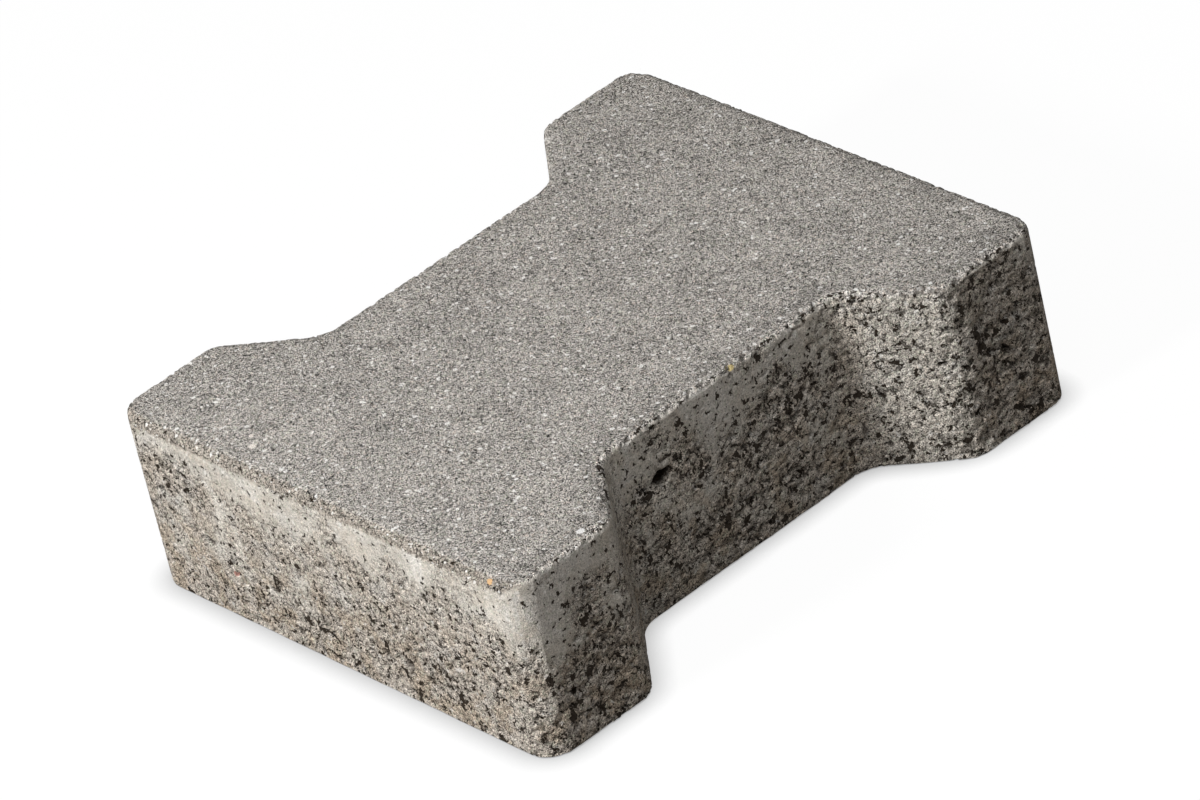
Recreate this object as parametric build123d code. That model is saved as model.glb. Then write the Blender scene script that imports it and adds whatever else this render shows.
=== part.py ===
from build123d import *
import os
from math import isclose

# Concrete paving stone with two heads and a narrower waist, pressed in one piece.
# Millimetres, +Z up. The origin is at the centre of the base, and the length runs along X.

# Overall size
LENGTH = 200.0  # end face to end face
HEAD_WIDTH = 165.0  # across each head, along Y
WAIST_WIDTH = 115.0  # across the narrow middle, along Y
THICKNESS = 57.0  # base to top face

# Stretches of the long sides, along X
HEAD_FLANK = 37.0  # straight flank of each head, from the end face to the shoulder
SLANT_RUN = 20.0  # slanting face between the shoulder and the waist

# Roundings
CORNER_RADIUS = 8.5  # four outer corners at the end faces
SHOULDER_RADIUS = 9.5  # four convex bends where a flank meets its slanting face
WAIST_RADIUS = 10.5  # four hollow bends where a slanting face meets the waist
TOP_EDGE_RADIUS = 3.0  # worn rounding all round the top face

half_length = LENGTH / 2
half_head = HEAD_WIDTH / 2
half_waist = WAIST_WIDTH / 2
shoulder_x = half_length - HEAD_FLANK
waist_x = shoulder_x - SLANT_RUN


def outline_points():
    """Sharp corners of the plan outline, counter-clockwise: one quarter, and its three mirror images."""
    quarter = [
        (half_length, half_head),
        (shoulder_x, half_head),
        (waist_x, half_waist),
    ]
    right_to_left = quarter + [(-x, y) for x, y in reversed(quarter)]
    return right_to_left + [(-x, -y) for x, y in right_to_left]


def vertices_at(sketch, distance):
    """The outline's corners whose distance from the YZ plane is the one given."""
    return sketch.vertices().filter_by(lambda v: isclose(abs(v.X), distance, abs_tol=1e-6))


def plan_sketch():
    """The stone's plan, with each kind of corner rounded by its own radius."""
    with BuildSketch() as plan:
        with BuildLine():
            Polyline(*outline_points(), close=True)
        make_face()
        fillet(vertices_at(plan, half_length), CORNER_RADIUS)
        fillet(vertices_at(plan, shoulder_x), SHOULDER_RADIUS)
        fillet(vertices_at(plan, waist_x), WAIST_RADIUS)
    return plan.sketch


def paving_stone():
    """The plan raised to the stone's thickness, with the rim of its top face rounded."""
    with BuildPart() as stone:
        add(plan_sketch())
        extrude(amount=THICKNESS)
        top_face = stone.faces().sort_by(Axis.Z)[-1]
        fillet(top_face.edges(), TOP_EDGE_RADIUS)
    return stone.part


os.makedirs("parts", exist_ok=True)
export_step(paving_stone(), "parts/paving_stone.step")
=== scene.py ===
import math

import bpy
import numpy as np
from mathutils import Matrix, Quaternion, Vector


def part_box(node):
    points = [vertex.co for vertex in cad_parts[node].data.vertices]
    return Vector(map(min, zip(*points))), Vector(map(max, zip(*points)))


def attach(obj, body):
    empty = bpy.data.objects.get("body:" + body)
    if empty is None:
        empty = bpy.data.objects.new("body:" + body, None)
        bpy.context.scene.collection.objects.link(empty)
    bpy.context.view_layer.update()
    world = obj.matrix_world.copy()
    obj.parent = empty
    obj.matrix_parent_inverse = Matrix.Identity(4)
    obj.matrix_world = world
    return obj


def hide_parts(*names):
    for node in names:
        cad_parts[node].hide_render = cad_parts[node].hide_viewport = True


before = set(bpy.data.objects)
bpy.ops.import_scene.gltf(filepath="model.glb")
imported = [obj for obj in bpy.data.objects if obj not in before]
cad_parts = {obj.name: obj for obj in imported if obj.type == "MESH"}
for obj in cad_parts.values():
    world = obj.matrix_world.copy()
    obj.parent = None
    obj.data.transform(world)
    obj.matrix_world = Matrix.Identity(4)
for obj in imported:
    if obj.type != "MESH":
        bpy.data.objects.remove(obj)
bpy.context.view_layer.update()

# The viewing angle. The stone lies on a level floor and is seen from above its near corner, from far off
# through a long lens, with the camera leaning over so that the long sides climb steeply to the right.
CAMERA_AZIMUTH = math.radians(-35.59)
CAMERA_ELEVATION = math.radians(32.47)
CAMERA_LEAN = math.radians(13.58)
CAMERA_DISTANCE = 2.2823
CAMERA_AIM = Vector((0.0010, -0.0007, 0.0285))
CAMERA_LENS = 248.6
NEAREST_SEEN, FARTHEST_SEEN = 0.05, 50.0


def towards(azimuth, elevation):
    """Unit vector away from the stone: azimuth turns it about Z from -Y, elevation lifts it."""
    level = math.cos(elevation)
    return Vector((math.sin(azimuth) * level, -math.cos(azimuth) * level, math.sin(elevation)))


camera_data = bpy.data.cameras.new("camera")
camera_data.lens = CAMERA_LENS
camera_data.clip_start = NEAREST_SEEN
camera_data.clip_end = FARTHEST_SEEN
camera = bpy.data.objects.new("camera", camera_data)
bpy.context.scene.collection.objects.link(camera)
back = towards(CAMERA_AZIMUTH, CAMERA_ELEVATION)
camera.location = CAMERA_AIM + back * CAMERA_DISTANCE
camera.rotation_mode = "QUATERNION"
camera.rotation_quaternion = (-back).to_track_quat("-Z", "Y") @ Quaternion((0, 0, 1), -CAMERA_LEAN)
bpy.context.scene.camera = camera
bpy.context.scene.view_settings.view_transform = "Standard"


# The light of a plain studio: a lamp low on the left, which shines along the stone and just past its
# near flanks, and a large soft one above the camera, which fills the shaded sides. For each: azimuth and
# elevation in degrees, width in metres, and its share of the light that falls square on the stone.
LAMP_DISTANCE = 1.3
LAMPS = {
    "lamp": (-92.5, 32.0, 0.16, 0.93),
    "fill": (-40.0, 62.0, 0.8, 0.36),
}

for name, (azimuth, elevation, width, share) in LAMPS.items():
    lamp_data = bpy.data.lights.new(name, "AREA")
    lamp_data.shape = "SQUARE"
    lamp_data.size = width
    lamp_data.energy = share * math.pi**2 * LAMP_DISTANCE**2
    lamp = bpy.data.objects.new(name, lamp_data)
    bpy.context.scene.collection.objects.link(lamp)
    lamp_way = towards(math.radians(azimuth), math.radians(elevation))
    lamp.location = lamp_way * LAMP_DISTANCE
    lamp.rotation_mode = "QUATERNION"
    lamp.rotation_quaternion = (-lamp_way).to_track_quat("-Z", "Y")
    lamp.visible_camera = False


# The room round the stone: it shows white wherever the camera looks past the floor, and throws a faint,
# even light on the stone from all sides.
SURROUND_SHARE = 0.17
WHITE = (1.0, 1.0, 1.0, 1.0)


class Wire:
    """An output socket of a node tree. Arithmetic adds Math nodes, and node() adds any other node."""

    tree = None

    def __init__(self, socket):
        self.socket = socket

    @classmethod
    def node(cls, kind, settings=None, inputs=None, output=0):
        """Adds a node: its settings first, then the values or wires of its sockets."""
        made = cls.tree.nodes.new(kind)
        for name, value in (settings or {}).items():
            setattr(made, name, value)
        for key, value in (inputs or {}).items():
            if isinstance(value, Wire):
                cls.tree.links.new(value.socket, made.inputs[key])
            else:
                made.inputs[key].default_value = value
        return cls(made.outputs[output])

    @classmethod
    def maths(cls, operation, *values):
        return cls.node("ShaderNodeMath", {"operation": operation}, dict(enumerate(values)))

    @classmethod
    def most(cls, first, *others):
        """The largest of some values."""
        for other in others:
            first = cls.maths("MAXIMUM", first, other)
        return first

    def __add__(self, other):
        return self.maths("ADD", self, other)

    def __sub__(self, other):
        return self.maths("SUBTRACT", self, other)

    def __rsub__(self, other):
        return self.maths("SUBTRACT", other, self)

    def __mul__(self, other):
        return self.maths("MULTIPLY", self, other)

    __radd__ = __add__
    __rmul__ = __mul__

    def step(self, start, end, low=0.0, high=1.0):
        """A soft step from low at start to high at end."""
        inputs = {"Value": self, "From Min": start, "From Max": end, "To Min": low, "To Max": high}
        return self.node("ShaderNodeMapRange", {"interpolation_type": "SMOOTHSTEP"}, inputs)


def seen_directly():
    """1 for rays from the camera, a mirror or a glass, which see the white room, and 0 for the rest."""
    camera_ray, glossy_ray, glass_ray = (
        Wire.node("ShaderNodeLightPath", output=name)
        for name in ("Is Camera Ray", "Is Glossy Ray", "Is Transmission Ray"))
    return Wire.maths("MINIMUM", camera_ray + glossy_ray + glass_ray, 1.0)


world = bpy.data.worlds.new("surround")
world.use_nodes = True
bpy.context.scene.world = world
Wire.tree = world.node_tree
surround = world.node_tree.nodes["Background"]
strength = seen_directly() * (1.0 - SURROUND_SHARE) + SURROUND_SHARE
surround.inputs["Color"].default_value = WHITE
world.node_tree.links.new(strength.socket, surround.inputs["Strength"])


# The floor: a white table that the camera sees almost blank, with the stone's soft shadow on it. It
# throws little light back up, so that the stone's shaded sides stay dark.
FLOOR_HALF = 6.0
FLOOR_DROP = 0.0001
FLOOR_PALE = (0.15, 0.13, 0.11, 1.0)
FLOOR_GLOW = 0.96
FLOOR_SEEN = (0.05, 0.05, 0.05, 1.0)
SHADOW_REACH = 0.008
SHADOW_DEPTH = 0.75
SHADOW_SAMPLES = 8

floor_mesh = bpy.data.meshes.new("floor")
corners = [(x * FLOOR_HALF, y * FLOOR_HALF, -FLOOR_DROP) for x, y in ((-1, -1), (1, -1), (1, 1), (-1, 1))]
floor_mesh.from_pydata(corners, [], [(0, 1, 2, 3)])
floor = bpy.data.objects.new("floor", floor_mesh)
bpy.context.scene.collection.objects.link(floor)

floor_finish = bpy.data.materials.new("floor")
floor_finish.use_nodes = True
floor_finish.node_tree.nodes.clear()
Wire.tree = floor_finish.node_tree
nearness = Wire.node("ShaderNodeAmbientOcclusion", {"samples": SHADOW_SAMPLES},
                     {"Distance": SHADOW_REACH}, output="AO")
shade = 1.0 - (1.0 - nearness) * SHADOW_DEPTH
glow_colour = Wire.node("ShaderNodeCombineColor", {}, {0: shade, 1: shade, 2: shade})
lit = Wire.node("ShaderNodeBsdfDiffuse", {}, {"Color": FLOOR_SEEN})
glow = Wire.node("ShaderNodeEmission", {}, {"Color": glow_colour, "Strength": FLOOR_GLOW})
seen = Wire.node("ShaderNodeAddShader", {}, {0: lit, 1: glow})
unseen = Wire.node("ShaderNodeBsdfDiffuse", {}, {"Color": FLOOR_PALE})
mixed = Wire.node("ShaderNodeMixShader", {}, {0: seen_directly(), 1: unseen, 2: seen})
floor_output = floor_finish.node_tree.nodes.new("ShaderNodeOutputMaterial")
floor_finish.node_tree.links.new(mixed.socket, floor_output.inputs["Surface"])
floor_mesh.materials.append(floor_finish)


# The paving stone: one block of earth-moist concrete, pressed and shaken in a steel mould. Its plan has
# two heads and a waist, rounded at every corner, and its top rim is worn round on the end faces and
# crisper along the sides. All sizes of the stone are millimetres.
MM = 0.001
HALF_LENGTH, HALF_HEAD, THICKNESS = (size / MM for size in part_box("paving_stone")[1])
HALF_WAIST = 57.5
HEAD_FLANK = 37.0
SLANT_RUN = 20.0
CORNER_RADIUS = 8.5
SHOULDER_RADIUS = 9.5
WAIST_RADIUS = 10.5
RIM_RADIUS = 3.0
RIM_FULLNESS = 0.72
CRISP_RIM_FULLNESS = 0.32
GRID_STEP = 0.5
FACE_LIMIT = 196_000
NEARLY_LEVEL = 1.5707  # radians, just short of a right angle, where the tangent still has a value


def run(start, end, step):
    """Even places from start up to, but without, end."""
    count = max(1, round(float(np.linalg.norm(end - start)) / step))
    return start + (end - start) * (np.arange(count) / count)[:, None]


def rounded_path(points, radii, step):
    """Places along a polyline whose inner corners are arcs. A straight run goes between tangent points.
    On an arc the place is the centre plus the radius, turned by a share of the corner's turn."""
    points = [np.array(point, float) for point in points]
    places = []
    start = points[0]
    for before, corner, after, radius in zip(points, points[1:], points[2:], radii):
        ahead = (corner - before) / np.linalg.norm(corner - before)
        onward = (after - corner) / np.linalg.norm(after - corner)
        turn = math.atan2(ahead[0] * onward[1] - ahead[1] * onward[0], float(ahead @ onward))
        cut = radius * math.tan(abs(turn) / 2)
        places.append(run(start, corner - cut * ahead, step))
        inside = np.sign(turn) * np.array([-ahead[1], ahead[0]])
        centre = corner - cut * ahead + radius * inside
        count = max(2, round(radius * abs(turn) / step))
        angles = turn * np.arange(count) / count
        sideways = np.array([inside[1], -inside[0]])
        arms = np.outer(np.cos(angles), -inside) + np.outer(np.sin(angles), sideways)
        places.append(centre + radius * arms)
        start = corner + cut * onward
    if np.linalg.norm(points[-1] - start) > step / 2:
        places.append(run(start, points[-1], step))
    return np.vstack([*places, points[-1]])


def plan_ring(step):
    """The outline as a closed ring, counter-clockwise from the near left corner, with its outward
    normals. One quarter is a rounded path from the middle of the waist to the end face, and the rest are
    its mirror images. Gives also how many places a long side and an end face have."""
    shoulder_x = HALF_LENGTH - HEAD_FLANK
    end_y = HALF_HEAD - CORNER_RADIUS
    bends = [(0, HALF_WAIST), (shoulder_x - SLANT_RUN, HALF_WAIST), (shoulder_x, HALF_HEAD),
             (HALF_LENGTH, HALF_HEAD), (HALF_LENGTH, end_y)]
    x, y = rounded_path(bends, (WAIST_RADIUS, SHOULDER_RADIUS, CORNER_RADIUS), step).T
    side_x = np.concatenate([-x[::-1], x[1:]])
    side_y = np.concatenate([y[::-1], y[1:]])
    end = np.linspace(-end_y, end_y, round(2 * end_y / step) + 1)[1:-1]
    end_x = np.full(end.size, HALF_LENGTH)
    ring_x = np.concatenate([side_x, end_x, side_x[::-1], -end_x])
    ring_y = np.concatenate([-side_y, end, side_y[::-1], -end])
    ring = np.stack([ring_x, ring_y], 1)
    tangent = np.roll(ring, -1, 0) - np.roll(ring, 1, 0)
    tangent /= np.linalg.norm(tangent, axis=1, keepdims=True)
    return ring, np.stack([tangent[:, 1], -tangent[:, 0]], 1), side_x.size, end.size


def soft(value, start, end):
    """A soft step from 0 at start to 1 at end: 3t^2 - 2t^3, where t is the share of the way."""
    share = np.clip((value - start) / (end - start), 0, 1)
    return share * share * (3 - 2 * share)


def stone_grid(step):
    """The stone's skin: a band of rows round the outline, from the base up the sides and over the rim,
    closed by a ruled grid on top and one below, whose rows run straight from the near outline to the far
    one. At an angle along the rim its section is sin(angle)^f up and 1 - cos(angle)^f in, where f is 1
    for a quarter circle and less for a fuller, crisper edge. Gives places, outward normals and faces."""
    ring, outward, along, across = plan_ring(step)
    wall = np.linspace(0, THICKNESS - RIM_RADIUS, round((THICKNESS - RIM_RADIUS) / step) + 1)
    rise = np.linspace(0, math.pi / 2, max(5, round(RIM_RADIUS * math.pi / 2 / step)) + 1)[1:]
    tilt = np.concatenate([np.zeros(wall.size), rise])
    count = len(ring)
    fullness = RIM_FULLNESS + (CRISP_RIM_FULLNESS - RIM_FULLNESS) * soft(np.abs(outward[:, 1]), 0.3, 0.9)
    bend = np.concatenate([np.zeros(wall.size), np.ones(rise.size)])[:, None]
    angle = np.arctan(np.tan(np.minimum(tilt, NEARLY_LEVEL)[:, None]) ** (1 / fullness))
    inset = bend * RIM_RADIUS * (1 - np.cos(angle) ** fullness)
    band = np.empty((tilt.size, count, 3))
    band[..., :2] = ring - outward * inset[..., None]
    band[..., 2] = np.minimum(np.pad(wall, (0, rise.size), "edge"), THICKNESS)[:, None]
    band[..., 2] += bend * RIM_RADIUS * np.sin(angle) ** fullness
    band_normal = np.empty_like(band)
    band_normal[..., :2] = outward * np.cos(tilt)[:, None, None]
    band_normal[..., 2] = np.sin(tilt)[:, None]
    number = np.arange(band.shape[0] * count).reshape(band.shape[0], count)
    around = np.roll(number, -1, 1)
    faces = [np.stack([number[:-1], around[:-1], around[1:], number[1:]], -1).reshape(-1, 4)]
    places, normals = [band.reshape(-1, 3)], [band_normal.reshape(-1, 3)]
    total = number.size
    for row, facing in ((number[-1], 1), (number[0], -1)):
        patch = np.empty((along, across + 2), int)
        patch[:, 0] = row[:along]
        patch[-1, 1:-1] = row[along:along + across]
        patch[:, -1] = row[along + across:2 * along + across][::-1]
        patch[0, 1:-1] = row[2 * along + across:][::-1]
        edge = band.reshape(-1, 3)
        share = np.linspace(0, 1, across + 2)[None, 1:-1, None]
        inner = edge[patch[1:-1, :1]] * (1 - share) + edge[patch[1:-1, -1:]] * share
        patch[1:-1, 1:-1] = total + np.arange(inner[..., 0].size).reshape(inner.shape[:2])
        total += inner[..., 0].size
        places.append(inner.reshape(-1, 3))
        normals.append(np.tile([0.0, 0.0, facing], (inner[..., 0].size, 1)))
        quads = np.stack([patch[:-1, :-1], patch[1:, :-1], patch[1:, 1:], patch[:-1, 1:]], -1)
        faces.append(quads.reshape(-1, 4)[:, ::facing])
    return np.vstack(places), np.vstack(normals), np.vstack(faces)


places, normals, faces = stone_grid(GRID_STEP)
base = normals[:, 2] < -0.5
flat = normals[:, 2] >= 0.999
wall = ~base & ~flat
spots = places[wall]
wall_x, wall_y, wall_z = spots.T
wall_normals = normals[wall]


# The stone's relief: grain, crumbs and pores. The mix would lie in lumps, and the mould cut it off flat
# at the wall, so relief only ever goes inwards. It is smooth noise of several sizes.
EVEN_SPREAD = (0x9E3779B1, 0x85EBCA77, 0xC2B2AE3D)  # odd numbers with well mixed bits, one for each axis
SEED_SPREAD = 0x27D4EB2F
STIRRING = ((15, 0x2C1B3C6D), (12, 0x297A2D39))  # how far a number is shifted, and its next factor


def scramble(cell, seed):
    """A well mixed 32-bit number for each lattice place, multiplied, joined and shifted from its own."""
    number = np.full(cell.shape[:-1], (seed * SEED_SPREAD) & 0xFFFFFFFF, np.uint32)
    for axis, factor in enumerate(EVEN_SPREAD):
        number ^= cell[..., axis].astype(np.uint32) * np.uint32(factor)
    for shift, factor in STIRRING:
        number ^= number >> np.uint32(shift)
        number *= np.uint32(factor)
    return number ^ (number >> np.uint32(15))


def swell(places, size, seed):
    """Smooth noise about 0, roughly -1 to 1: at each corner of the lattice cell a random slope times the
    way from that corner, blended by 6t^5 - 15t^4 + 10t^3 along each axis. size is the cell's."""
    spot = places / np.asarray(size, float)
    cell = np.floor(spot).astype(np.int64)
    part = (spot - cell).astype(np.float32)
    ease = part * part * part * (part * (part * 6 - 15) + 10)
    total = np.zeros(len(places), np.float32)
    for corner in np.ndindex(2, 2, 2):
        bits = scramble(cell + corner, seed)
        weight = np.ones(len(places), np.float32)
        slope = np.zeros(len(places), np.float32)
        for axis in range(3):
            weight *= ease[:, axis] if corner[axis] else 1 - ease[:, axis]
            lean = ((bits >> np.uint32(10 * axis)) & np.uint32(1023)).astype(np.float32) / 511.5 - 1
            slope += lean * (part[:, axis] - corner[axis])
        total += weight * slope
    return total * 1.6


def layers(places, size, seed, count, keep=0.5):
    """Smooth noise in layers, each half as large in size and keep times as strong as the one before."""
    total = sum(swell(places, np.asarray(size, float) / 2**n, seed + n) * keep**n for n in range(count))
    return total / sum(keep**n for n in range(count))**0.5


def creases(places, size, seed):
    """Sharp clefts between lumps: 1 where smooth noise crosses 0, falling to 0 on either side of it."""
    return 1 - np.clip(4 * np.abs(layers(places, size, seed, 2)), 0, 1)


def bell(place_x, place_y, place_z, reach, rise):
    """1 at a place of the wall, fading round it as exp(-d^2), where d is 1 at reach or rise away."""
    level = (wall_x - place_x) ** 2 + (wall_y - place_y) ** 2
    return np.exp(-(level / reach**2 + ((wall_z - place_z) / rise) ** 2))


# The sandy tread face ends at the rim, and along the sides a little higher, where the edge is crisp.
sideways = np.abs(normals[:, 1]) / np.maximum(np.hypot(normals[:, 0], normals[:, 1]), 1e-6)
crisp = soft(sideways, 0.3, 0.9) * ~flat
tread_height = places[:, 2] + 0.7 * layers(places, 2.0, 5, 2) - 2.5 * crisp - (THICKNESS - RIM_RADIUS)
tread = soft(tread_height, -0.3, 0.3)
slant = np.abs(wall_normals[:, 0] * wall_normals[:, 1]) ** 0.5 * (np.abs(wall_x) < 68) * (wall_x > 0)
shaded = soft(-wall_normals[:, 1], 0.9, 1.0)

# How well the mix filled the mould at the wall: 1 where cement slurry closed it, 0 where it stayed open
# and crumbly. It is closed under the rim and opens downwards in tongues. The right head is all open.
CLOSED = 0.42
CLOSED_UNDER_RIM = 0.27
OPEN_ON_SLANT = 0.50
OPEN_AT_FOOT = 0.16
TONGUE = (9, 9, 12)
CROWD = (12, 12, 9)
closed = CLOSED + (CLOSED_UNDER_RIM - 0.14 * shaded) * soft(wall_z, 38, 54) - OPEN_ON_SLANT * slant
closed += shaded * (0.02 - 0.22 * soft(wall_x, 60, 75))
closed += (0.40 + 0.32 * shaded) * layers(spots, TONGUE, 11, 4) - OPEN_AT_FOOT * soft(wall_z, 18, 2)
crowd = 0.5 + 0.8 * layers(spots, CROWD, 45, 2)

# Single patches of the near sides: place, reach along, reach in height, and how much more closed and
# how much more pitted they are.
PATCHES = (
    (-94, -80, 46, 8, 8, 1.2, -1.0),  # the near corner's smooth cap
    (-100, 24, 47, 22, 6, 0.30, -0.5),  # slurry under the rim of the end face
    (-100, -17, 47, 6, 5, 0.35, -0.4),
    (-100, -42, 49, 7, 6, 0.4, -0.4),
    (-100, 62, 19, 14, 10, 0.0, -0.7),
    (-33, -57.5, 48, 8, 7, 0.4, -0.1),  # slurry on the waist
    (-1, -57.5, 44, 13, 10, 0.5, 0.0),
    (28, -57.5, 50, 8, 7, 0.5, -0.2),
    (-91, -82.5, 36, 5, 5, 0.5, -0.3),  # the heads' flanks
    (-75, -82.5, 50, 13, 6, 0.5, -0.4),
    (78, -82.5, 50, 10, 6, -0.1, 0.3),
    (85, -82.5, 8, 4, 5, 0.5, -0.4),
    (-100, 62, 43, 14, 7, -0.15, 0.9),  # crumbled out of the end face
    (-100, 35, 14, 10, 8, -0.1, 0.6),
    (-100, -20, 13, 22, 9, -0.25, 0.8),
    (-100, -50, 22, 15, 9, -0.2, 0.5),
    (-18, -57.5, 41, 6, 6, -0.7, 0.2),  # crumbled out of the waist
    (19, -57.5, 38, 5, 12, -0.7, 0.4),
    (-79, -82.5, 20, 15, 12, -0.4, 0.4),  # crumbled out of the heads
    (80, -82.5, 27, 13, 11, -0.4, 0.4),
    (53, -70, 38, 12, 14, 0.1, -0.4),  # firmer: the slanting face and the near corner
    (-94.3, -82.0, 24, 4, 5, 0.30, -1.0),
    (-100, 44.5, 36, 1.5, 6, 0.6, -1.0),  # two streaks of slurry on the end face
    (-100, 39.5, 29, 1.7, 3.5, 0.6, -1.0),
)
for patch_x, patch_y, patch_z, reach, rise, more_closed, more_pitted in PATCHES:
    share = bell(patch_x, patch_y, patch_z, reach, rise)
    closed += more_closed * share
    crowd += more_pitted * share
closed = np.clip(closed, 0, 1)
crowd = np.clip(crowd + shaded * (0.55 + 0.25 * soft(wall_z, 30, 50)), 0, 1.7)

# Paler and darker stretches of the near sides: place, reach along, reach in height, how much paler.
PALE_PATCHES = (
    (18, -57.5, 38, 4, 12, 0.30),
    (-23, -56.5, 39, 5, 6, 0.30),
    (0, -57.5, 6, 45, 9, -0.12),
    (80, -82.5, 30, 12, 10, -0.10),
    (-100, -35, 16, 22, 8, -0.08),
    (-91, -82.5, 36, 5, 5, 0.10),
    (-100, 44.5, 36, 1.3, 6, 0.35),
    (-100, 39.5, 29, 1.5, 3.5, 0.35),
    (-100, -72, 46, 6, 7, 0.12),
    (-100, 27, 45, 14, 4, 0.07),
    (-100, -17, 46, 5, 3.5, 0.14),
    (-100, -42, 48, 5, 5, 0.14),
    (-100, 60, 46, 9, 4, 0.06),
)
# Painted light: the slanting face is painted 16 % paler, to make up for the shade its own relief throws.
paler = 0.16 * slant
for *place_and_reach, more in PALE_PATCHES:
    paler += more * bell(*place_and_reach)

# The mix as it would lie without the mould: lumps of sand and cement with crevices between them, slumps
# on the shaded sides, and pits and cavities.
LUMP = (4.4, 4.4, 3.4)
SMALL_LUMP = (2.8, 2.8, 2.3)
SLUMP = (6.5, 6.5, 4.6)
PIT = (2.6, 2.6, 2.0)
CAVITY = (5.5, 5.5, 3.6)
cleft = creases(spots, SMALL_LUMP, 23)
rough = 0.60 * creases(spots, LUMP, 21) + 0.15 * cleft + 0.25 * layers(spots, 5, 31, 2)
rough += shaded * (0.30 + 1.7 * layers(spots, SLUMP, 33, 3, 0.55))
rough += (0.4 + 0.7 * crowd) * 1.3 * soft(layers(spots, PIT, 41, 3, 0.6), 0.30, 0.48)
rough += crowd * 1.6 * soft(layers(spots, CAVITY, 43, 4, 0.6), 0.42, 0.60)
rough *= 1 - 0.45 * slant

# The mould's wall cut it off flat: only what lies deeper than the wall is hollow. The square root rounds
# the hollows' edges. Along the rim the edge crumbles in small bites.
BITE = (1.9, 1.9, 1.5)
hollow = rough - (1.0 + 1.3 * shaded) * closed - 0.12
hollow = 0.5 * (hollow + np.sqrt(hollow * hollow + 0.004))
wall_crisp = crisp[wall]
rim = soft(wall_z - 2.3 * wall_crisp, THICKNESS - 3.8, THICKNESS - 2.8)
rim *= 1 - soft(wall_normals[:, 2], 0.93, 1.0)
gap = soft(layers(spots, BITE, 51, 2, 0.6), 0.16, 0.46)
crumbling = (0.35 * cleft + (0.8 + 0.9 * wall_crisp) * gap) * (1 - 0.55 * soft(wall_y, 0, 20))
crumbling += 0.12 * (1 + layers(spots, 5, 55, 2))
hollow = hollow * (1 - rim) + rim * crumbling
hollow += 0.10 * (1 + layers(spots, 34, 61, 2))

# Corners knocked off at the base: place, loss and reach.
LOST_CORNERS = ((63, -82.5, 2.0, 9), (-100, -82.5, 0.9, 6), (63, 82.5, 0.8, 7))
for corner_x, corner_y, loss, reach in LOST_CORNERS:
    away = np.hypot(wall_x - corner_x, wall_y - corner_y)
    low_down = soft(wall_z, 16, 1)
    hollow += loss * np.exp(-((away / reach) ** 2)) * low_down * (1 + 0.5 * layers(spots, 3, 71, 2))

# Holes that a missing stone left: place, radius and depth.
HOLES = (
    (-25.4, -57.5, 39.4, 3.6, 4.3),  # the large one in the waist
    (-100, 20, 5.5, 2.2, 1.8), (-100, -36, 10, 2.0, 1.6), (59.6, -78.2, 32, 1.6, 1.8),
    (80, -82.5, 26, 1.8, 2.0), (94, -82.5, 34, 1.5, 1.5), (46, 61, 30, 2.0, 2.2),
    (-20, 57.5, 21, 2.2, 2.2), (-100, 69, 35, 1.3, 1.4), (-100, 51.5, 23.5, 1.4, 1.4),
    (-100, 2, 34, 1.4, 1.4), (-100, 13.5, 27.5, 1.2, 1.2), (-100, 4, 2.2, 1.6, 1.5),
    (-100, -27, 2.5, 1.8, 1.5), (-100, -18, 12.5, 1.7, 1.7), (-100, -28, 12.5, 2.0, 1.8),
    (-100, -43, 15.5, 1.5, 1.6), (-100, -66, 21, 1.6, 1.5),
)
holes = np.zeros(len(spots))
for hole_x, hole_y, hole_z, radius, deep in HOLES:
    away = np.sqrt((wall_x - hole_x) ** 2 + (wall_y - hole_y) ** 2 + (1.4 * (wall_z - hole_z)) ** 2)
    away += 0.36 * radius * layers(spots, 1.0 + 0.5 * radius, 81, 3)
    hollow += deep * soft(away, radius, 0.55 * radius)
    # holes says how strongly a hole is painted dark as its shade.
    holes = np.maximum(holes, soft(away, radius, 0.75 * radius) * min(deep / 2, 1))

# The tread face is level sand with a few grains fallen out, and the base is slightly uneven. The walls
# end in a ragged foot, and nothing passes the size of the stone.
SHALLOWEST, DEEPEST = 0.02, 4.5
SAND_DEPTH = 0.03
GRAIN_DEPTH = 0.5
SHORT_OF_BOX = 0.01
hollow = np.clip(hollow, SHALLOWEST, DEEPEST)
foot = 0.5 * soft(wall_z, 1.2, 0.0) * (1 + layers(spots, 2.2, 91, 2))
lost_grains = soft(layers(places[flat], 1.6, 95, 1), 0.62, 0.80)
depth = np.zeros(len(places))
depth[wall] = hollow
depth[flat] = SAND_DEPTH + GRAIN_DEPTH * lost_grains
depth[base] = 0.25 * (1 + layers(places[base], 14.0, 97, 2))
carved = places - normals * depth[:, None]
carved[wall, 2] += foot
highest = np.array([HALF_LENGTH, HALF_HEAD, THICKNESS]) - SHORT_OF_BOX
lowest = np.array([-highest[0], -highest[1], SHORT_OF_BOX])
carved = np.clip(carved, lowest, highest)

# What the finish needs to know at each place of the skin: how closed and how hollow it is, the hollows
# getting painted shade; how much of the end face's rim, which is painted darker as shade, and of the
# tread;
# how deep its holes and hollows lie, which are painted dark as their shade; how thick its pores lie and
# how pale.
traits = {name: np.zeros(len(places)) for name in ("shut", "hollow_shade", "rim", "deep", "crowd", "pale")}
traits["tread"] = tread
traits["shut"][wall] = closed
# Painted shade: the skin is painted darker the deeper it lies hollow, in the rim's bites and in lost
# grains.
traits["hollow_shade"][wall] = soft(hollow, 0.35, 1.6) * (1 - rim) + rim * gap * 0.6
traits["hollow_shade"][flat] = lost_grains
traits["rim"][wall] = rim * soft(wall_x, -94, -98)
traits["deep"][wall] = np.maximum(0.5 * soft(hollow, 1.6, 2.4), holes)
traits["crowd"][wall] = crowd
traits["pale"][wall] = paler


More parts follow.
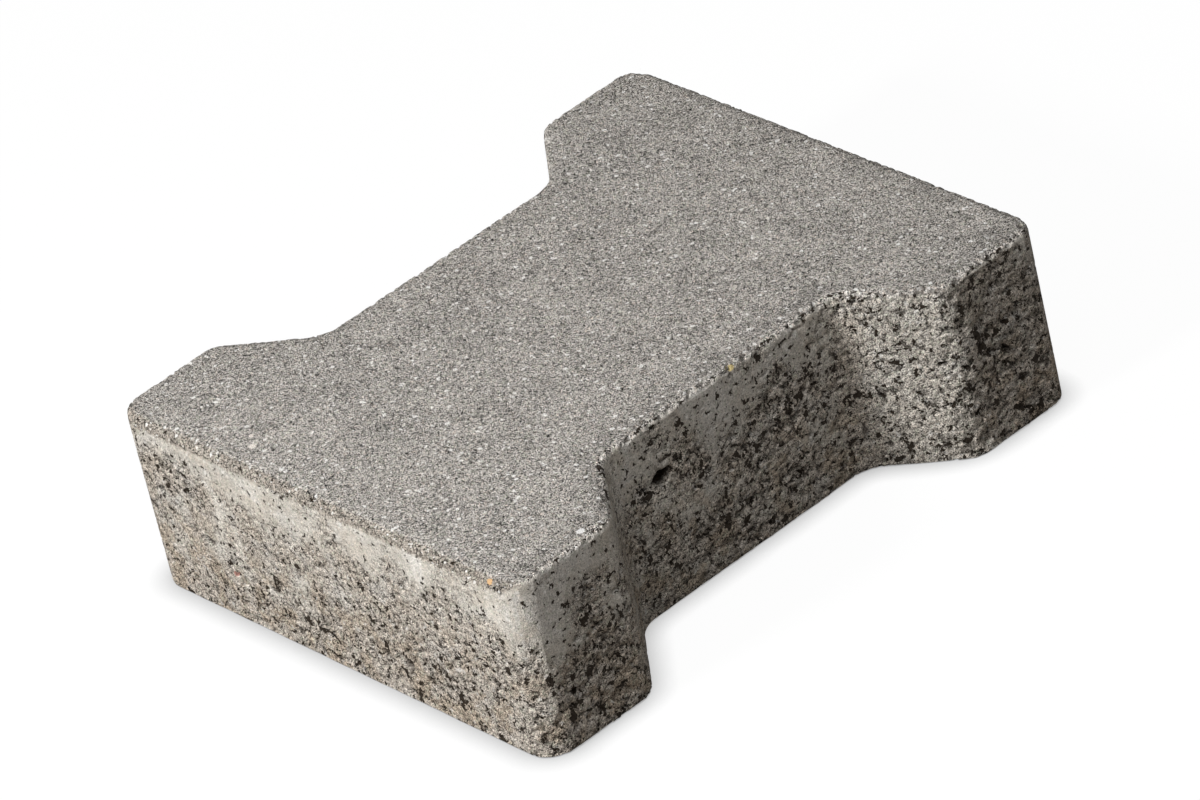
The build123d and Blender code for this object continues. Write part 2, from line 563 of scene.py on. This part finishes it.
def closed_mesh(name, points, quads, traits):
    """A mesh from arrays of points and four-cornered faces, with a number a point for each trait."""
    mesh = bpy.data.meshes.new(name)
    mesh.vertices.add(len(points))
    mesh.vertices.foreach_set("co", points.astype(np.float32).ravel())
    mesh.loops.add(quads.size)
    mesh.loops.foreach_set("vertex_index", quads.astype(np.int32).ravel())
    mesh.polygons.add(len(quads))
    mesh.polygons.foreach_set("loop_start", np.arange(0, quads.size, 4, dtype=np.int32))
    mesh.update(calc_edges=True)
    for key, values in traits.items():
        layer = mesh.attributes.new(key, "FLOAT", "POINT")
        layer.data.foreach_set("value", values.astype(np.float32))
    return mesh


# The fine grid is thinned where it is flat, and what that pushed past the stone's size is pulled back.
stone = bpy.data.objects.new("pressed_stone", closed_mesh("pressed_stone", carved * MM, faces, traits))
bpy.context.scene.collection.objects.link(stone)
thinning = stone.modifiers.new("thinning", "DECIMATE")
thinning.ratio = FACE_LIMIT / (2 * len(faces))
thinned = bpy.data.meshes.new_from_object(stone.evaluated_get(bpy.context.evaluated_depsgraph_get()))
stone.modifiers.clear()
stone.data = thinned
thinned_places = np.empty(3 * len(thinned.vertices), np.float32)
thinned.vertices.foreach_get("co", thinned_places)
thinned_places = np.clip(thinned_places.reshape(-1, 3), lowest * MM, highest * MM)
thinned.vertices.foreach_set("co", thinned_places.ravel())
thinned.shade_smooth()


# The concrete's finish: grey cement between sand grains of many tones. The skin is paler and smoother
# where the slurry closed it and browner low down. Its pores, hollows, crevices and the end face's rim get
# painted shade, and its crumbs and slanting face painted light. Sizes are millimetres.
SAND_GRAIN = 0.36
JOINT_GRAIN = 0.42
CRUMB_GRAIN = 0.6
HUE_GRAIN = 0.7
COARSE_GRAIN = 0.95
CRUMB = 1.7
PORE, VOID, DOT = 2.2, 4.6, 1.2
CLOUD = 16.0
BEND = 1.1
BUMP_HEIGHT = 0.0005  # metres
ROUGHNESS = 0.92
SPECULAR = 0.15

TREAD_COLOUR = (0.418, 0.391, 0.362, 1.0)
OPEN_COLOUR = (0.455, 0.408, 0.356, 1.0)
SHUT_COLOUR = (0.524, 0.493, 0.443, 1.0)
PASTE_COLOUR = (0.592, 0.567, 0.530, 1.0)
COOL_COLOUR = (0.540, 0.515, 0.480, 1.0)
WARM_COLOUR = (0.400, 0.330, 0.255, 1.0)
GREY_COLOUR = (0.425, 0.408, 0.372, 1.0)
RIM_SHADE_COLOUR = (0.400, 0.350, 0.290, 1.0)
PORE_SHADE_COLOUR = (0.022, 0.015, 0.009, 1.0)
WHITE_GRAIN = (0.95, 0.93, 0.90, 1.0)
RUST_GRAIN = (0.48, 0.39, 0.32, 1.0)
MOSS_GRAIN = (0.33, 0.35, 0.27, 1.0)

concrete = bpy.data.materials.new("pressed_concrete")
concrete.use_nodes = True
Wire.tree = concrete.node_tree
bsdf = concrete.node_tree.nodes["Principled BSDF"]


def blend_colours(amount, first, second, mode="MIX"):
    """The first colour going over to the second as amount goes from 0 to 1, or laid on it by mode."""
    inputs = {0: amount, 6: first, 7: second}
    return Wire.node("ShaderNodeMix", {"data_type": "RGBA", "blend_type": mode}, inputs, output=2)


def trait(name):
    return Wire.node("ShaderNodeAttribute", {"attribute_name": name}, output="Fac")


in_mm = Wire.node("ShaderNodeVectorMath", {"operation": "SCALE"},
                  {0: Wire.node("ShaderNodeTexCoord", output="Object"), "Scale": 1 / MM})


def along(axis):
    return Wire.node("ShaderNodeSeparateXYZ", {}, {0: in_mm}, output=axis)


def cloud(size, detail=2.0, roughness=0.5, at=in_mm):
    """Noise about 0.5 with patches of the given size in millimetres."""
    inputs = {"Vector": at, "Scale": 1 / size, "Detail": detail, "Roughness": roughness}
    return Wire.node("ShaderNodeTexNoise", {}, inputs)


def grain(size, output="Color", at=in_mm):
    """Grains of the given size in millimetres: a colour for each, or the distance from its middle."""
    return Wire.node("ShaderNodeTexVoronoi", {}, {"Vector": at, "Scale": 1 / size}, output=output)


def channel(colour, index):
    return Wire.node("ShaderNodeSeparateColor", {}, {0: colour}, output=index)


shut_mask, hollow_shade_mask = trait("shut"), trait("hollow_shade")
tread_mask, rim_shade_mask = trait("tread"), trait("rim")
wall_mask = 1.0 - tread_mask
side, across, height = along("X"), along("Y"), along("Z")

# Sand grains: each has its own tone and a faint hue, a few are white or black.
tone = channel(grain(SAND_GRAIN), 0) - 0.5
speckle = cloud(SAND_GRAIN, 1.0, 0.7) - 0.5
fleck = channel(grain(COARSE_GRAIN), 1)
hue = channel(grain(HUE_GRAIN), 2)
mottle = cloud(CLOUD, 4.0, 0.6) - 0.5
crumb_tone = channel(grain(CRUMB_GRAIN), 1)
white = Wire.most(fleck.step(0.98, 0.985), crumb_tone.step(0.975, 0.98) * 0.8)
black = Wire.most(fleck.step(0.015, 0.01), crumb_tone.step(0.05, 0.045))
joint = grain(JOINT_GRAIN, "Distance") - 0.45
sand = 1.02 + tone * 1.65 - joint * 0.6 + speckle * 0.4 + mottle * 0.5 - black * 0.5

# The walls: sand and cement crumbs, smooth where slurry closed the wall, with a crumbly line along the
# edge of the near sides, whose crumbs on the tread are painted lighter as lit and whose gaps are painted
# dark as shade. The edge is measured in plan from the waist, the slanting faces and the heads.
raw = shut_mask.step(0.85, 0.35, 0.40, 1.0)
loose = shut_mask.step(0.80, 0.35)
near_edge = Wire.maths("ABSOLUTE", side).step(43.0, 63.0, 57.5, 82.5)
from_edge = across + near_edge + mottle * 6.0
# The tread is 16 % darker in a band some 2 to 10 mm in from the near sides' edge.
darker_band = from_edge.step(2.0, 4.0) * from_edge.step(10.0, 6.0)
lit_and_shaded_edge = from_edge.step(2.4, 0.8)

# The pores lie thicker in some places than in others. pits is 1 inside a pore and 0 between them; the
# pores and crevices it holds are painted near black as their shade.
warp = Wire.node("ShaderNodeTexNoise", {}, {"Vector": in_mm, "Scale": 1.0, "Detail": 1.0}, output="Color")
bent = Wire.node("ShaderNodeVectorMath", {"operation": "MULTIPLY_ADD"},
                 {0: warp, 1: (BEND, BEND, BEND), 2: in_mm})
crumb = grain(CRUMB, "Distance", bent)
pore_field = cloud(PORE, 2.5, 0.58, bent)
opened = 1.0 - shut_mask
crowding = trait("crowd") + lit_and_shaded_edge * tread_mask * 1.9 - 0.5


def hollows(field, share, more_opened, more_crowded, edge):
    """1 inside the hollows of a noise field and 0 between them, with a soft edge. They take up more of
    the wall with a larger share, and more again where the wall is opened or crowded with pores."""
    return (opened * more_opened + crowding * more_crowded + share - field).step(0.0, edge)


pore = hollows(pore_field, 0.353, 0.024, 0.030, 0.008)
void = hollows(cloud(VOID, 4.0, 0.62, bent), 0.337, 0.040, 0.036, 0.006)
dot = hollows(cloud(DOT, 1.0, 0.5, bent), 0.278, 0.026, 0.030, 0.012)
crevice = (crumb - 0.70).step(0.0, 0.08) * cloud(4.0, 1.0).step(0.42, 0.58) * loose
pits = Wire.most(pore, void, dot, crevice * 0.7) * Wire.most(wall_mask, rim_shade_mask, lit_and_shaded_edge)

# The colour: the body's grey by how closed it is, cooler in clouds, browner low down, greyer on the near
# slanting face, painted shade on the end face's rim, then the grains' tones with painted light and shade
# on the crumbs, the white grains and the pores' painted shade.
body = blend_colours(shut_mask.step(0.3, 0.7), OPEN_COLOUR, SHUT_COLOUR)
coolness = cloud(9.0, 3.0).step(0.50, 0.64) * height.step(12.0, 30.0, 0.2, 0.5)
body = blend_colours(coolness, body, COOL_COLOUR)
grey_side = side.step(42.0, 50.0) * side.step(72.0, 62.0) * across.step(0.0, -10.0)
warmth = cloud(7.0, 3.0).step(0.46, 0.62) * height.step(40.0, 8.0, 0.25, 0.8) * (1.0 - grey_side * 0.85)
body = blend_colours(warmth, body, WARM_COLOUR)
body = blend_colours(grey_side * 0.45, body, GREY_COLOUR)
body = blend_colours(shut_mask.step(0.88, 1.0) * 0.8, body, PASTE_COLOUR)
body = blend_colours(tread_mask, body, TREAD_COLOUR)
# Painted shade: the end face's rim band is painted browner and darker, as the shade of its crumbly grain.
body = blend_colours(rim_shade_mask * 0.6, body, RIM_SHADE_COLOUR)
body = blend_colours(hue.step(0.80, 0.92) * (tread_mask * 0.13 + 0.22), body, RUST_GRAIN)
body = blend_colours(hue.step(0.20, 0.08) * 0.40, body, MOSS_GRAIN)
# Painted light and shade: lumps are painted lighter on top and darker at their crevices and beside pores.
lump_light_and_shade = (pore_field - 0.5) * 0.9 + (0.40 - crumb) * 0.5
grit = 1.065 + (tone * 1.1 + speckle * 3.5 - black * 0.3 + lump_light_and_shade) * raw + mottle * 0.3
# Painted light: along the near sides' edge the tread's crumbs are painted 40 % lighter, as lit crumbs.
gain = grit * wall_mask + sand * tread_mask * (1.0 - darker_band * 0.16 + lit_and_shaded_edge * 0.40)
# Painted shade: darker in the hollows and on the end face's rim band, and the pale trait holds painted
# light.
gain = gain * (1.0 - hollow_shade_mask * 0.15) * (1.0 - rim_shade_mask * 0.12) * (trait("pale") + 1.0)
grey = Wire.node("ShaderNodeCombineColor", {}, {0: gain, 1: gain, 2: gain})
colour = blend_colours(1.0, body, grey, "MULTIPLY")
colour = blend_colours(white * tread_mask.step(0.0, 1.0, 0.35, 0.80), colour, WHITE_GRAIN)
# Painted shade: the pores, crevices and deep holes are painted near black.
colour = blend_colours(Wire.most(pits * 0.97, trait("deep")), colour, PORE_SHADE_COLOUR)

# Single grains that stand out: place, radius and colour. White chips, an orange, a yellow and a red
# grain, and the two pale stones beside the large hole.
CHIPS = (
    (-91, 33, 57, 1.3, (0.80, 0.74, 0.68, 1.0)),
    (-88, 37, 57, 0.9, (0.80, 0.74, 0.68, 1.0)),
    (-70.6, -78.4, 57, 1.3, (0.90, 0.88, 0.86, 1.0)),
    (-33, 12, 57, 0.9, (0.70, 0.66, 0.60, 1.0)),
    (38, -20, 57, 0.8, (0.72, 0.68, 0.64, 1.0)),
    (-99.2, -73, 56.4, 1.2, (0.72, 0.46, 0.24, 1.0)),
    (5, -57, 56.6, 1.4, (0.52, 0.42, 0.20, 1.0)),
    (-100, 44, 15.5, 1.0, (0.55, 0.30, 0.25, 1.0)),
    (-24, -57.5, 42.5, 1.9, (0.60, 0.56, 0.50, 1.0)),
    (-22, -57.5, 37, 1.6, (0.60, 0.55, 0.48, 1.0)),
)
for *place, radius, chip_colour in CHIPS:
    away = Wire.node("ShaderNodeVectorMath", {"operation": "DISTANCE"},
                     {0: in_mm, 1: place}, output="Value")
    chip = (away + (pore_field - 0.5) * 1.5).step(radius, radius * 0.7)
    colour = blend_colours(chip, colour, chip_colour)

# Grains and crumbs stand up a little and pores lie lower. Concrete is dull all over.
relief = (grain(SAND_GRAIN, "Distance") * -0.35 + speckle) * (raw * wall_mask + tread_mask)
relief = relief - crumb * loose * wall_mask * 1.6 - pits * 1.4
bump = Wire.node("ShaderNodeBump", {}, {"Strength": 1.0, "Distance": BUMP_HEIGHT, "Height": relief})
concrete.node_tree.links.new(colour.socket, bsdf.inputs["Base Color"])
concrete.node_tree.links.new(bump.socket, bsdf.inputs["Normal"])
bsdf.inputs["Roughness"].default_value = ROUGHNESS
bsdf.inputs["Specular IOR Level"].default_value = SPECULAR
stone.data.materials.append(concrete)

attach(stone, "root")
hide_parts("paving_stone")
